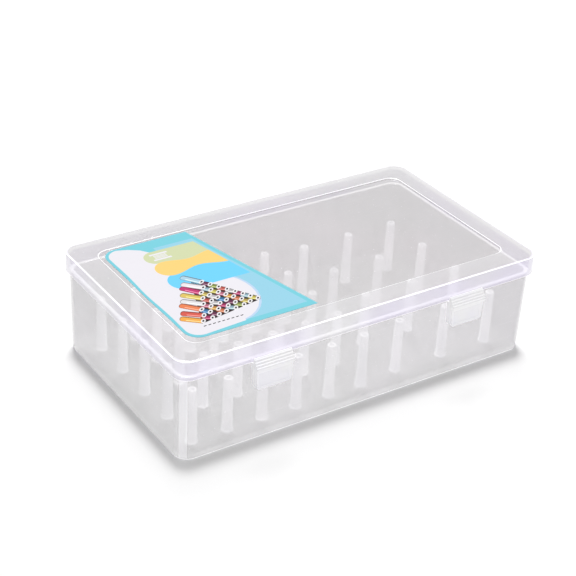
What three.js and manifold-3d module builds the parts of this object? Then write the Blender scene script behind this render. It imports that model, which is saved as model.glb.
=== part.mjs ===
// A clear hinged box for spools of thread. A shallow lid turns on two pins at the back and closes on the
// rim of a deep tray. Forty-two posts stand on the tray's floor in two grids, one spool on each post, and
// two snap latches hold the lid shut at the front. A printed card lies in the lid's sunken top panel.
// Millimetres. x runs along the front from left to right, y from front to back, z up. The origin is on the
// surface that the box stands on, at the middle of the outline of the whole box.
import * as THREE from 'three';
import { mergeVertices } from 'three/addons/utils/BufferGeometryUtils.js';
import Module from 'manifold-3d';

const wasm = await Module();
wasm.setup();

// Overall sizes, over the closed shells without the latches and the hinges.
const boxLength = 245;
const boxDepth = 141;
const boxHeight = 65;

// Lid.
const lidHeight = 12;
const lidCornerRadius = 8.8;
const lidTopFillet = 1.6;
const lidLip = 1.3; // skirt below the rim that it rests on
const lidWall = 2.5; // skirt above the rim
const lidPanel = 1.5;
const panelInset = 14.4;
const panelSink = 0.8;
const panelCornerRadius = 6;

// Tray.
const trayWall = 1.5;
const trayFloor = 1.8;
const trayCornerRadius = 9;
const trayDraft = 0.4; // from rim to foot
const trayFootFillet = 1.5;
const rimOverlap = 1; // height of the rim inside the lid's lip
const rimWidth = 2.4;
const rimDepth = 2.5;
const lipClearance = 0.35;

// Posts.
const postHeight = 34.7;
const postFootRadius = 3.4;
const postTopRadius = 2.6;
const postDimpleRadius = 1.3;
const postDimpleDepth = 2;
const postSides = 12;
const fineColumns = 6;
const fineRows = 5;
const coarseColumns = 3;
const coarseRows = 4;
const coarsePitchRatio = 1.5; // of the fine pitch, along the box
const gridGapRatio = 1.2;
const leftMargin = 16;
const rightMargin = 20;
const fineFrontMargin = 14.8;
const fineBackMargin = 19.4;
const coarseFrontMargin = 17.6;
const coarseBackMargin = 23;

// Hinges. Heights and reaches are from the seam, where the skirt ends, and from the lid's back face.
const hingeSpacing = 132.8;
const hingeReach = 3;
const hingeRadius = 2.6;
const hingePinRadius = 1;
const pinClearance = 0.15;
const knuckleWidth = 10;
const earWidth = 5;
const endClearance = 0.3;
const earRoot = 8;
const knuckleRoot = 6;

// Latches. Heights are from the seam and reaches from the lid's front face.
const latchSpacing = 132.8;
const latchKneeWidth = 23.6;
const latchTopWidth = 24;
const latchFootWidth = 21.8;
const latchTop = 2.9;
const latchKnee = -2.7;
const latchFoot = -16;
const latchKneeReach = 5.4;
const latchPlateReach = 4;
const latchPlate = 1.2;
const latchFlange = 1.3;
const latchGrip = 1.4; // thickness of the sloped grip
const latchGap = 0.6; // from the flanges to the tray's wall
const gripRidges = 4;
const gripRidgeHeight = 0.35;
const pivotHeight = -14.3;
const pivotReach = 0.6;
const pivotBarRadius = 0.95;
const pivotEarRadius = 1.8;
const pivotEarWidth = 3;
const pivotEarSpacing = 11;
const pivotMouth = 70; // degrees of the ear left open for the bar to snap in
const catchWidth = 16;
const catchDepth = 0.5;
const catchHeight = 1.2;
const catchRise = 0.9;
const catchClearance = 0.3;

// Card.
const cardThickness = 0.25;
const cardLeft = 3.2; // from the panel's edges
const cardBack = 0.4;
const cardFront = 4.6;
const cardFrontLength = 80.4;
const cardBackLength = 56.5;
const cardCornerRadius = 9;

const cornerSegments = 6;
const filletSegments = 3;
const arcSegments = 16;
const weld = 0.6; // how far a joined lug reaches into the wall that carries it

const seam = boxHeight - lidHeight;
const rimTop = seam + rimOverlap;
const trayInset = lidLip + lipClearance;
const front = -boxDepth / 2;
const back = boxDepth / 2;
const hingeAxis = { y: back + hingeReach, z: seam };
const pivotAxis = { y: front - pivotReach, z: seam + pivotHeight };

const clearPlastic = { color: 0xdfe1e6, roughness: 0.12, metalness: 0, transparent: true, opacity: 0.35 };
const milkyPlastic = { color: 0xe9eaec, roughness: 0.35, metalness: 0 };
const whitePlastic = { color: 0xf7f7fa, roughness: 0.4, metalness: 0 };
const printedCard = { color: 0x8fd0e4, roughness: 0.3, metalness: 0 };

// A closed ring of points at one height: a rectangle with round corners, counter-clockwise from above.
function ring(inset, z, radius) {
  const corner = Math.max(radius, 0.3);
  const x = boxLength / 2 - inset - corner;
  const y = boxDepth / 2 - inset - corner;
  const centres = [[x, -y], [x, y], [-x, y], [-x, -y]];
  const points = [];
  centres.forEach(([cx, cy], quarter) => {
    for (let step = 0; step <= cornerSegments; step += 1) {
      const angle = ((quarter - 1 + step / cornerSegments) * Math.PI) / 2;
      points.push(new THREE.Vector3(cx + corner * Math.cos(angle), cy + corner * Math.sin(angle), z));
    }
  });
  return points;
}

// Rings that follow a quarter-round from one inset and height to the next.
function quarterRound(size, steps, place) {
  const rings = [];
  for (let step = 0; step <= steps; step += 1) {
    const angle = (step / steps) * (Math.PI / 2);
    rings.push(place(size * Math.sin(angle), size * (1 - Math.cos(angle))));
  }
  return rings;
}

// A closed body skinned over rings, with a flat cap at each end.
function skin(rings) {
  const count = rings[0].length;
  const points = rings.flat();
  const faces = THREE.ShapeUtils.triangulateShape(rings[0].map(({ x, y }) => new THREE.Vector2(x, y)), []);
  const lastFaces = THREE.ShapeUtils.triangulateShape(rings.at(-1).map(({ x, y }) => new THREE.Vector2(x, y)), []);
  const last = (rings.length - 1) * count;
  const index = [];
  faces.forEach(([a, b, c]) => index.push(a, c, b));
  for (let level = 0; level < rings.length - 1; level += 1) {
    for (let step = 0; step < count; step += 1) {
      const near = level * count + step;
      const next = level * count + ((step + 1) % count);
      index.push(near, next, next + count, near, next + count, near + count);
    }
  }
  lastFaces.forEach(([a, b, c]) => index.push(last + a, last + b, last + c));
  const geometry = new THREE.BufferGeometry().setFromPoints(points);
  geometry.setIndex(index);
  return geometry;
}

// A flat outline through [u, v, radius] corners, each corner rounded by its radius.
function outline(corners) {
  const shape = new THREE.Shape();
  corners.forEach(([u, v, radius = 0], place) => {
    const corner = new THREE.Vector2(u, v);
    const [before, after] = [corners.at(place - 1), corners[(place + 1) % corners.length]]
      .map(([nextU, nextV]) => new THREE.Vector2(nextU, nextV).sub(corner).setLength(radius).add(corner));
    if (place === 0) shape.moveTo(before.x, before.y);
    else shape.lineTo(before.x, before.y);
    if (radius > 0) shape.quadraticCurveTo(u, v, after.x, after.y);
  });
  return shape;
}

function round(y, z, radius) {
  return new THREE.Shape().absarc(y, z, radius, 0, 2 * Math.PI);
}

// Extrudes an outline drawn in y and z along x, with its middle at x = 0.
function acrossBox(shape, width, curveSegments = arcSegments) {
  const geometry = new THREE.ExtrudeGeometry(shape, { depth: width, bevelEnabled: false, curveSegments });
  const axes = [new THREE.Vector3(0, 1, 0), new THREE.Vector3(0, 0, 1), new THREE.Vector3(1, 0, 0)];
  geometry.applyMatrix4(new THREE.Matrix4().makeBasis(...axes));
  return geometry.translate(-width / 2, 0, 0);
}

// Extrudes an outline drawn in x and z through the latch, from y = behind towards the front.
function throughLatch(shape, behind, depth) {
  const geometry = new THREE.ExtrudeGeometry(shape, { depth, bevelEnabled: false, curveSegments: 3 });
  const axes = [new THREE.Vector3(1, 0, 0), new THREE.Vector3(0, 0, 1), new THREE.Vector3(0, -1, 0)];
  geometry.applyMatrix4(new THREE.Matrix4().makeBasis(...axes));
  return geometry.translate(0, behind, 0);
}

// A closed geometry as a solid for joining and cutting.
function solidOf(geometry) {
  const bare = geometry.clone();
  bare.deleteAttribute('normal');
  bare.deleteAttribute('uv');
  const merged = mergeVertices(bare, 1e-4);
  const vertProperties = new Float32Array(merged.attributes.position.array);
  const triVerts = new Uint32Array(merged.index.array);
  return new wasm.Manifold(new wasm.Mesh({ numProp: 3, vertProperties, triVerts }));
}

function geometryOf(solid) {
  const { vertProperties, triVerts } = solid.getMesh();
  const geometry = new THREE.BufferGeometry();
  geometry.setAttribute('position', new THREE.BufferAttribute(vertProperties, 3));
  geometry.setIndex(new THREE.BufferAttribute(triVerts, 1));
  return geometry;
}

function mesh(name, geometry, finish) {
  const body = new THREE.Mesh(geometry, new THREE.MeshStandardMaterial(finish));
  body.name = name;
  return body;
}

// The two places along the box of a pair of hinges or latches.
function pairPlaces(spacing) {
  return [-spacing / 2, spacing / 2];
}

// Hinge ears stand behind the tray's wall, one on each side of the lid's knuckle.
function hingeEars(middle) {
  const root = back - trayInset - weld;
  const web = outline([
    [root, seam - endClearance],
    [hingeAxis.y, seam - endClearance],
    [hingeAxis.y + hingeRadius * 0.7, seam - hingeRadius * 0.7],
    [root, seam - earRoot],
  ]);
  const spread = (knuckleWidth + earWidth) / 2 + endClearance;
  return [-spread, spread].map((side) => {
    const barrel = solidOf(acrossBox(round(hingeAxis.y, hingeAxis.z, hingeRadius), earWidth));
    const bore = solidOf(acrossBox(round(hingeAxis.y, hingeAxis.z, hingePinRadius + pinClearance), 2 * earWidth));
    return barrel.add(solidOf(acrossBox(web, earWidth))).subtract(bore).translate([middle + side, 0, 0]);
  });
}

function hingeKnuckle(middle) {
  const root = back - weld;
  const web = outline([
    [root, seam + endClearance],
    [hingeAxis.y, seam - hingeRadius * 0.5],
    [hingeAxis.y + hingeRadius * 0.5, seam + hingeRadius * 0.86],
    [root, seam + knuckleRoot],
  ]);
  const barrel = solidOf(acrossBox(round(hingeAxis.y, hingeAxis.z, hingeRadius), knuckleWidth));
  const bore = solidOf(acrossBox(round(hingeAxis.y, hingeAxis.z, hingePinRadius + pinClearance), 2 * knuckleWidth));
  return barrel.add(solidOf(acrossBox(web, knuckleWidth))).subtract(bore).translate([middle, 0, 0]);
}

// An open ear that a latch's pivot bar snaps into from the front.
function pivotEar(place) {
  const boreRadius = pivotBarRadius + pinClearance / 2;
  const half = THREE.MathUtils.degToRad(pivotMouth / 2);
  const shape = new THREE.Shape()
    .absarc(pivotAxis.y, pivotAxis.z, pivotEarRadius, -Math.PI + half, Math.PI - half)
    .absarc(pivotAxis.y, pivotAxis.z, boreRadius, Math.PI - half, -Math.PI + half, true);
  const web = outline([
    [pivotAxis.y + pivotBarRadius + 0.5, pivotAxis.z - pivotEarRadius * 0.8],
    [front + trayInset + trayDraft + weld, pivotAxis.z - pivotEarRadius],
    [front + trayInset + trayDraft + weld, pivotAxis.z + pivotEarRadius],
    [pivotAxis.y + pivotBarRadius + 0.5, pivotAxis.z + pivotEarRadius * 0.8],
  ]);
  const ring3 = solidOf(acrossBox(shape, pivotEarWidth, 12));
  return ring3.add(solidOf(acrossBox(web, pivotEarWidth))).translate([place, 0, 0]);
}

function trayShell() {
  const draftAt = (z) => trayInset + trayDraft * (1 - z / rimTop);
  const radiusAt = (inset) => trayCornerRadius + trayInset - inset;
  const level = (inset, z) => ring(inset, z, radiusAt(inset));
  const foot = quarterRound(trayFootFillet, filletSegments, (out, up) => (
    level(draftAt(0) + trayFootFillet - out, up)));
  const floorEdge = quarterRound(trayFootFillet, filletSegments, (down, inward) => (
    level(draftAt(trayFloor) + trayWall + inward, trayFloor + trayFootFillet - down)));
  return skin([
    ...foot,
    level(trayInset, rimTop),
    level(trayInset + rimWidth, rimTop),
    level(trayInset + rimWidth, rimTop - rimDepth + (rimWidth - trayWall)),
    level(draftAt(rimTop - rimDepth) + trayWall, rimTop - rimDepth),
    ...floorEdge,
  ]);
}

function tray() {
  let solid = solidOf(trayShell());
  pairPlaces(hingeSpacing).flatMap(hingeEars).forEach((ear) => {
    solid = solid.add(ear);
  });
  pairPlaces(latchSpacing).forEach((place) => {
    pairPlaces(pivotEarSpacing).forEach((side) => {
      solid = solid.add(pivotEar(place + side));
    });
  });
  return mesh('tray', geometryOf(solid), clearPlastic);
}

function lidShell() {
  const radiusAt = (inset) => lidCornerRadius - inset;
  const level = (inset, z) => ring(inset, z, radiusAt(inset));
  const panelLevel = (inset, z) => ring(panelInset + inset, z, panelCornerRadius - inset);
  const under = boxHeight - lidPanel;
  const topEdge = quarterRound(lidTopFillet, filletSegments, (up, inward) => (
    level(inward, boxHeight - lidTopFillet + up)));
  return skin([
    panelLevel(-lidPanel, under - panelSink),
    panelLevel(-lidPanel - panelSink, under),
    level(lidWall + lidTopFillet, under),
    level(lidWall, under - lidTopFillet),
    level(lidWall, rimTop),
    level(lidLip, rimTop),
    level(lidLip, seam),
    level(0, seam),
    ...topEdge,
    panelLevel(0, boxHeight),
    panelLevel(panelSink, boxHeight - panelSink),
  ]);
}

function lid() {
  let solid = solidOf(lidShell());
  pairPlaces(hingeSpacing).map(hingeKnuckle).forEach((knuckle) => {
    solid = solid.add(knuckle);
  });
  const nose = outline([
    [front + weld, seam + catchRise],
    [front - catchDepth, seam + catchRise, 0.3],
    [front - catchDepth, seam + catchRise + catchHeight, 0.3],
    [front + weld, seam + catchRise + catchHeight + catchDepth],
  ]);
  pairPlaces(latchSpacing).forEach((place) => {
    solid = solid.add(solidOf(acrossBox(nose, catchWidth, 3)).translate([place, 0, 0]));
  });
  return mesh('lid', geometryOf(solid), clearPlastic);
}

// The grip's sloped face, from knee to top, with ridges that run along the latch.
function ridgedSlope(start, end) {
  const slope = end.clone().sub(start);
  const outward = new THREE.Vector2(-slope.y, slope.x).setLength(gripRidgeHeight);
  const points = [];
  for (let ridge = 0; ridge < gripRidges; ridge += 1) {
    const at = (share) => start.clone().addScaledVector(slope, (ridge + share) / gripRidges);
    points.push(at(0), at(0.25).add(outward), at(0.6).add(outward));
  }
  return points.map(({ x, y }) => [x, y]);
}

// The latch seen from the front: widest at the knee, narrower at the foot, corners rounded.
function latchFace(inset, top, foot) {
  const [topHalf, kneeHalf, footHalf] = [latchTopWidth, latchKneeWidth, latchFootWidth]
    .map((width) => width / 2 - inset);
  return outline([
    [-footHalf, foot, 1.5],
    [footHalf, foot, 1.5],
    [kneeHalf, seam + latchKnee, 0.6],
    [topHalf, top, 0.8],
    [-topHalf, top, 0.8],
    [-kneeHalf, seam + latchKnee, 0.6],
  ]);
}

// A snap latch: a ribbed grip that slopes back over the skirt, a plate with a flange down each side, and
// a round bar across its foot that turns in the tray's ears.
function latch(name, middle) {
  const hook = front - catchDepth - catchClearance;
  const knee = new THREE.Vector2(front - latchKneeReach, seam + latchKnee);
  const top = new THREE.Vector2(hook - 0.5, seam + latchTop);
  const plate = front - latchPlateReach;
  const behind = front + trayInset - latchGap;
  const foot = seam + latchFoot;
  const profile = outline([
    [plate, foot, 1.5],
    [pivotAxis.y, foot, 0.5],
    [behind, pivotAxis.z - 0.5, 1],
    [behind, seam - latchGap, 0.3],
    [hook, seam - latchGap],
    [hook, seam + latchTop - 0.2],
    [top.x, top.y],
    ...ridgedSlope(knee, top).reverse(),
    [plate, knee.y - 1.5],
  ]);
  const lean = top.clone().sub(knee).normalize();
  const inner = knee.clone().add(new THREE.Vector2(lean.y, -lean.x).multiplyScalar(latchGrip));
  const reach = (y) => inner.y + ((y - inner.x) * lean.y) / lean.x;
  const pocketTop = hook - 0.3;
  const pocket = outline([
    [plate + latchPlate, foot - 5],
    [plate + latchPlate, seam + latchKnee - 1.2],
    [inner.x + 0.3, reach(inner.x + 0.3)],
    [pocketTop, reach(pocketTop)],
    [behind + 5, reach(pocketTop)],
    [behind + 5, foot - 5],
  ]);
  const depth = 4 * latchKneeReach;
  const face = solidOf(throughLatch(latchFace(0, seam + latchTop, foot), behind + latchKneeReach, depth));
  const hollow = solidOf(throughLatch(latchFace(latchFlange, seam + latchTop + 5, foot - 5), behind + 6, depth));
  const bar = round(pivotAxis.y, pivotAxis.z, pivotBarRadius);
  const barLength = latchFootWidth - latchFlange;
  const solid = solidOf(acrossBox(profile, 2 * latchKneeWidth, 3))
    .intersect(face)
    .subtract(solidOf(acrossBox(pocket, 2 * latchKneeWidth, 1)).intersect(hollow))
    .add(solidOf(acrossBox(bar, barLength, 12)))
    .translate([middle, 0, 0]);
  return mesh(name, geometryOf(solid), whitePlastic);
}

function hingePin(name, middle) {
  const length = knuckleWidth + 2 * (earWidth + endClearance);
  const pin = acrossBox(round(hingeAxis.y, hingeAxis.z, hingePinRadius), length);
  return mesh(name, pin.translate(middle, 0, 0), clearPlastic);
}

// A tapered post with a round dimple in its top.
function postGeometry() {
  const profile = [
    [0, 0],
    [postFootRadius, 0],
    [postFootRadius - 0.15, 1.2],
    [postTopRadius, postHeight - 0.6],
    [postTopRadius - 0.4, postHeight],
    [postDimpleRadius, postHeight],
    [postDimpleRadius * 0.8, postHeight - postDimpleDepth],
    [0, postHeight - postDimpleDepth],
  ].map(([radius, z]) => new THREE.Vector2(radius, z));
  return new THREE.LatheGeometry(profile, postSides).rotateX(Math.PI / 2);
}

function postPlaces() {
  const coarseGaps = coarseColumns - 1;
  const span = boxLength - leftMargin - rightMargin;
  const pitch = span / (fineColumns - 1 + gridGapRatio + coarseGaps * coarsePitchRatio);
  const left = -boxLength / 2 + leftMargin;
  const right = boxLength / 2 - rightMargin;
  const grids = [
    { columns: fineColumns, rows: fineRows, x: left, stepX: pitch, near: fineFrontMargin, far: fineBackMargin },
    {
      columns: coarseColumns,
      rows: coarseRows,
      x: right - coarseGaps * coarsePitchRatio * pitch,
      stepX: coarsePitchRatio * pitch,
      near: coarseFrontMargin,
      far: coarseBackMargin,
    },
  ];
  const places = [];
  grids.forEach(({ columns, rows, x, stepX, near, far }) => {
    const stepY = (boxDepth - near - far) / (rows - 1);
    for (let column = 0; column < columns; column += 1) {
      for (let row = 0; row < rows; row += 1) places.push([x + column * stepX, front + near + row * stepY]);
    }
  });
  return places;
}

function posts() {
  return postPlaces().map(([x, y], count) => {
    const post = mesh(`spool_post_${String(count + 1).padStart(2, '0')}`, postGeometry(), milkyPlastic);
    post.position.set(x, y, trayFloor);
    return post;
  });
}

// The card: round corners on the left, a slanted edge on the right.
function card() {
  const left = -boxLength / 2 + panelInset + cardLeft;
  const near = front + panelInset + cardFront;
  const far = back - panelInset - panelSink - cardBack;
  const shape = outline([
    [left, near, cardCornerRadius],
    [left + cardFrontLength, near, 0.8],
    [left + cardBackLength, far, 0.8],
    [left, far, cardCornerRadius],
  ]);
  const geometry = new THREE.ExtrudeGeometry(shape, { depth: cardThickness, bevelEnabled: false, curveSegments: 8 });
  const print = mesh('label_card', geometry, printedCard);
  print.position.z = boxHeight - panelSink;
  return print;
}

const box = new THREE.Group();
box.add(tray(), lid(), card(), ...posts());
pairPlaces(latchSpacing).forEach((place, side) => box.add(latch(`latch_${['left', 'right'][side]}`, place)));
pairPlaces(hingeSpacing).forEach((place, side) => box.add(hingePin(`hinge_pin_${['left', 'right'][side]}`, place)));

// The latches stand out in front and the hinges behind, so the origin is moved to the middle of both.
box.position.y = (latchKneeReach - hingeReach - hingeRadius) / 2;

export default box;
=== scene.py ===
"""Looks of a clear hinged box for spools of thread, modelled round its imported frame."""

import logging
import math
from collections.abc import Callable, Iterable, Sequence
from dataclasses import dataclass, field
from enum import Enum, IntEnum

import bmesh
import bpy
from mathutils import Matrix, Vector

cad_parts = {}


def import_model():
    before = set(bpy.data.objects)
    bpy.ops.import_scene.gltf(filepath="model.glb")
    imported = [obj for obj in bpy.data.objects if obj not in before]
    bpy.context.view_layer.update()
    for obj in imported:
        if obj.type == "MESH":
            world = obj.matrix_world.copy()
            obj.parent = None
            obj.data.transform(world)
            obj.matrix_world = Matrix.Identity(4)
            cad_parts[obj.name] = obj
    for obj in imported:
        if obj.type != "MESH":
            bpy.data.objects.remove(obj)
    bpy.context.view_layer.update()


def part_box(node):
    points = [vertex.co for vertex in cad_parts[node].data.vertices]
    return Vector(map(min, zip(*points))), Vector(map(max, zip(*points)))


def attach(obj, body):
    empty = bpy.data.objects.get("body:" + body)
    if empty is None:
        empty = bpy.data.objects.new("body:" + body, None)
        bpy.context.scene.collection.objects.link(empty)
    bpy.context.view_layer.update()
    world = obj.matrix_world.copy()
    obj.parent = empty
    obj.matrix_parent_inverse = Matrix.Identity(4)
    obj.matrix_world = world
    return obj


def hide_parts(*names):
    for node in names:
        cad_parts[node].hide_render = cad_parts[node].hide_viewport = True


LOG = logging.getLogger("thread_box")

MM = 0.001
SAME_PLACE = 0.01 * MM
SAME_HEIGHT = 0.02 * MM
LEVEL = 0.9
ROD_SIDES = 24
BARREL_SIDES = 32
RING_SIDES = 36
EDGE_TURN = math.radians(25)
SMOOTH_TURN = math.radians(32)
WHITE = (1.0, 1.0, 1.0)
FLOAT_SOCKET = "NodeSocketFloat"
COLOUR_SOCKET = "NodeSocketColor"

Colour = tuple[float, float, float]
Point = tuple[float, float]
Piece = bpy.types.Object
Socket = bpy.types.NodeSocket
Materials = Sequence[bpy.types.Material]
Edge = bmesh.types.BMEdge
Face = bmesh.types.BMFace


class Body(Enum):
    """The bodies that pieces ride on."""

    TRAY = "tray_body"
    LID = "lid_body"
    LATCH_LEFT = "latch_left_body"
    LATCH_RIGHT = "latch_right_body"


class Slot(Enum):
    """The record's material slots."""

    CLEAR = "clear_plastic"
    MILKY = "milky_plastic"
    WHITE = "white_plastic"
    CARD = "printed_card"


# ---------------------------------------------------------------- finishes


class Graph:
    """A node tree while its nodes are placed and wired."""

    def __init__(self, tree: bpy.types.NodeTree) -> None:
        """Keeps the material's or group's tree."""
        self.tree = tree

    def fill(self, node: bpy.types.Node, inputs: dict) -> None:
        """Fills in a node's inputs.

        Args:
            node: The node.
            inputs: Values or sockets for its inputs, by name or number.
        """
        for name, value in inputs.items():
            if isinstance(value, Socket):
                self.tree.links.new(value, node.inputs[name])
            else:
                node.inputs[name].default_value = value

    def add(self, kind: str, inputs: dict | None = None, **settings: object) -> bpy.types.Node:
        """Adds a node and fills it in.

        Args:
            kind: The node's type name.
            inputs: Values or sockets for its inputs, by name or number.
            settings: Properties of the node itself.

        Returns:
            The new node.
        """
        node = self.tree.nodes.new(kind)
        for name, value in settings.items():
            setattr(node, name, value)
        self.fill(node, inputs or {})
        return node

    def math(self, operation: str, first: object, second: object, clamp: bool = False) -> Socket:
        """Adds one sum.

        Args:
            operation: The sum, such as MULTIPLY.
            first: Its first value or socket.
            second: Its second value or socket.
            clamp: Whether the result is kept between 0 and 1.

        Returns:
            The result's socket.
        """
        values = {0: first, 1: second}
        return self.add("ShaderNodeMath", values, operation=operation, use_clamp=clamp).outputs[0]

    def spread(
        self, value: Socket, low: float, high: float, start: float = 0.0, end: float = 1.0
    ) -> Socket:
        """Spreads a value over a range.

        Args:
            value: The value's socket.
            low: What the start becomes.
            high: What the end becomes.
            start: Where the value's own range starts.
            end: Where it ends.

        Returns:
            The spread value's socket.
        """
        ends = {"From Min": start, "From Max": end, "To Min": low, "To Max": high}
        return self.add("ShaderNodeMapRange", {"Value": value, **ends}).outputs["Result"]

    def mix(self, share: Socket, first: object, second: object) -> Socket:
        """Mixes two colours.

        Args:
            share: How much of the second.
            first: The first colour or socket.
            second: The second colour or socket.

        Returns:
            The mixed colour's socket.
        """
        values = {0: share, 6: first, 7: second}
        return self.add("ShaderNodeMix", values, data_type="RGBA").outputs[2]

    def place(self) -> Socket:
        """Returns the shaded point's place on its object."""
        return self.add("ShaderNodeTexCoord").outputs["Object"]

    def stretch(self, place: Socket, share: float, turn: float = 0.0) -> Socket:
        """Returns a place turned about z and drawn out along x."""
        values = {"Vector": place, "Rotation": (0.0, 0.0, turn), "Scale": (share, 1.0, 1.0)}
        return self.add("ShaderNodeMapping", values).outputs[0]

    def noise(self, place: Socket, scale: Socket, detail: float) -> Socket:
        """Returns a noise over a place."""
        values = {"Vector": place, "Scale": scale, "Detail": detail}
        return self.add("ShaderNodeTexNoise", values).outputs[0]


def rgba(colour: Colour) -> tuple[float, float, float, float]:
    """Returns the colour with full opacity."""
    return (*colour, 1.0)


def start_group(
    name: str, inputs: dict[str, float | Colour], outputs: dict[str, str]
) -> tuple[Graph, bpy.types.NodeOutputs]:
    """Starts a shader node group.

    Args:
        name: The group's name.
        inputs: Names and first values of its inputs; a colour makes a colour socket.
        outputs: Names and socket types of its outputs.

    Returns:
        A graph to wire it with and the sockets of what it is given.
    """
    tree = bpy.data.node_groups.new(name, "ShaderNodeTree")
    for label, value in inputs.items():
        single = isinstance(value, float)
        kind = FLOAT_SOCKET if single else COLOUR_SOCKET
        socket = tree.interface.new_socket(label, in_out="INPUT", socket_type=kind)
        socket.default_value = value if single else rgba(value)
    for label, kind in outputs.items():
        tree.interface.new_socket(label, in_out="OUTPUT", socket_type=kind)
    graph = Graph(tree)
    return graph, graph.add("NodeGroupInput").outputs


class Effects:
    """The node groups that several finishes share."""

    def __init__(self) -> None:
        """Builds each group once."""
        self.moulding = self._moulding()
        self.handling = self._handling()
        self.blush = self._blush()

    @staticmethod
    def _moulding() -> bpy.types.NodeTree:
        """Builds the soft waves and flow lines that a mould leaves in plastic.

        Returns:
            The group, with outputs Haze and Height.
        """
        inputs = {"Wave Scale": 40.0, "Flow Scale": 160.0, "Flow Share": 0.35}
        outputs = {"Haze": FLOAT_SOCKET, "Height": FLOAT_SOCKET}
        graph, given = start_group("moulding_marks", inputs, outputs)
        place = graph.place()
        wave = graph.noise(place, given["Wave Scale"], 2.0)
        flow = graph.noise(graph.stretch(place, 0.12), given["Flow Scale"], 4.0)
        height = graph.math("ADD", wave, graph.math("MULTIPLY", flow, given["Flow Share"]))
        haze = graph.math("MULTIPLY", wave, flow)
        graph.add("NodeGroupOutput", {"Haze": haze, "Height": height})
        return graph.tree

    @staticmethod
    def _handling() -> bpy.types.NodeTree:
        """Builds the fine scratches and dust that handling leaves.

        Returns:
            The group, with outputs Scratches and Dust.
        """
        inputs = {"Scratch Scale": 900.0, "Dust Scale": 700.0}
        outputs = {"Scratches": FLOAT_SOCKET, "Dust": FLOAT_SOCKET}
        graph, given = start_group("handling_marks", inputs, outputs)
        place = graph.place()
        marks = []
        for turn in (0.5, 1.9):
            noise = graph.noise(graph.stretch(place, 0.03, turn), given["Scratch Scale"], 1.0)
            marks.append(graph.spread(noise, 0.0, 1.0, 0.66, 0.72))
        specks = graph.noise(place, given["Dust Scale"], 2.0)
        dust = graph.spread(specks, 0.0, 1.0, 0.7, 0.78)
        scratches = graph.math("MAXIMUM", *marks)
        graph.add("NodeGroupOutput", {"Scratches": scratches, "Dust": dust})
        return graph.tree

    @staticmethod
    def _blush() -> bpy.types.NodeTree:
        """Builds broad, faint patches of a second tint.

        Returns:
            The group, with output Colour.
        """
        inputs = {"Tint": (0.8, 0.8, 0.8), "Blush": (0.8, 0.75, 0.9), "Patch Scale": 14.0}
        graph, given = start_group("broad_blush", inputs, {"Colour": COLOUR_SOCKET})
        noise = graph.noise(graph.place(), given["Patch Scale"], 1.0)
        share = graph.spread(noise, 0.0, 1.0, 0.4, 0.62)
        graph.add("NodeGroupOutput", {"Colour": graph.mix(share, given["Tint"], given["Blush"])})
        return graph.tree


class MaterialGraph(Graph):
    """A new material's node tree, round its one Principled shader."""

    def __init__(self, name: str) -> None:
        """Starts the material.

        Args:
            name: The material's name.
        """
        self.material = bpy.data.materials.new(name)
        self.material.use_nodes = True
        super().__init__(self.material.node_tree)
        self.shader = self.tree.nodes["Principled BSDF"]

    def group(self, tree: bpy.types.NodeTree, inputs: dict | None = None) -> bpy.types.NodeOutputs:
        """Places a node group with its own values and returns its outputs."""
        return self.add("ShaderNodeGroup", inputs, node_tree=tree).outputs

    def facing(self) -> Socket:
        """Returns how far the surface is turned from the eye."""
        return self.add("ShaderNodeLayerWeight", {"Blend": 0.5}).outputs["Facing"]

    def seen_once(self) -> Socket:
        """Returns a factor that hides the far side of each wall, so that a wall counts once."""
        behind = self.add("ShaderNodeNewGeometry").outputs["Backfacing"]
        return self.math("SUBTRACT", 1.0, behind)

    def passing(self) -> Socket:
        """Returns 1 for light on its way through, and 0 for what the eye sees."""
        path = self.add("ShaderNodeLightPath").outputs
        return self.math("MAXIMUM", path["Is Shadow Ray"], path["Is Diffuse Ray"])

    def plus(self, value: Socket, extra: Socket, share: float, clamp: bool = False) -> Socket:
        """Returns a value with a share of another added."""
        return self.math("ADD", value, self.math("MULTIPLY", extra, share), clamp)

    def finish(
        self, base: Socket, rough: Socket, height: Socket, relief: Point, inputs: dict
    ) -> bpy.types.Material:
        """Wires the shader.

        Args:
            base: The colour.
            rough: The roughness.
            height: The height of the surface.
            relief: The strength and the depth of its relief.
            inputs: What else the shader is given.

        Returns:
            The material.
        """
        values = {"Height": height, "Strength": relief[0], "Distance": relief[1]}
        bump = self.add("ShaderNodeBump", values).outputs[0]
        self.fill(self.shader, {"Base Color": base, "Roughness": rough, "Normal": bump, **inputs})
        return self.material


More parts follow.
